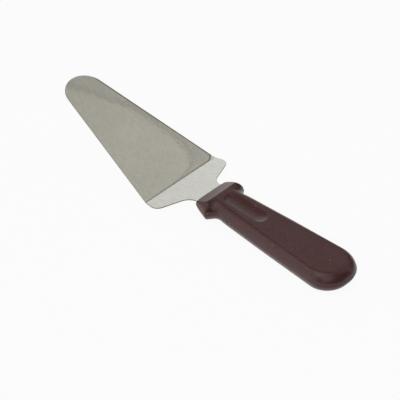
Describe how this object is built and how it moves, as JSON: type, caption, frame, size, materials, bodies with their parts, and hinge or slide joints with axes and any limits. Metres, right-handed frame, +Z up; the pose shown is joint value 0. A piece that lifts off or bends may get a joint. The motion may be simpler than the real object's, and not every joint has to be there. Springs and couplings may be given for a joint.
{
  "type": "cake server",
  "caption": "Cake and pie server: tapered stainless blade with a round tip and a bent heel, its tang moulded into a flared, flat-faced plastic handle with thumb recesses.",
  "frame": {"origin": "On the table plane, below the middle of the whole server's bounding box, with the server lying on the flat underside of its handle.", "axes": "+X runs from the blade's tip to the butt of the handle, +Z is up out of the handle's upper flat face, and the server is symmetric about the plane Y = 0."},
  "size_m": [0.23, 0.0614, 0.0296],
  "materials": {
    "blade_steel": "satin rolled stainless sheet with a faint lengthwise grain",
    "handle_plastic": "semi-gloss dark brown injection moulding"
  },
  "bodies": {
    "root": {"blade": "blade_steel", "handle": "handle_plastic"}
  },
  "joints": []
}
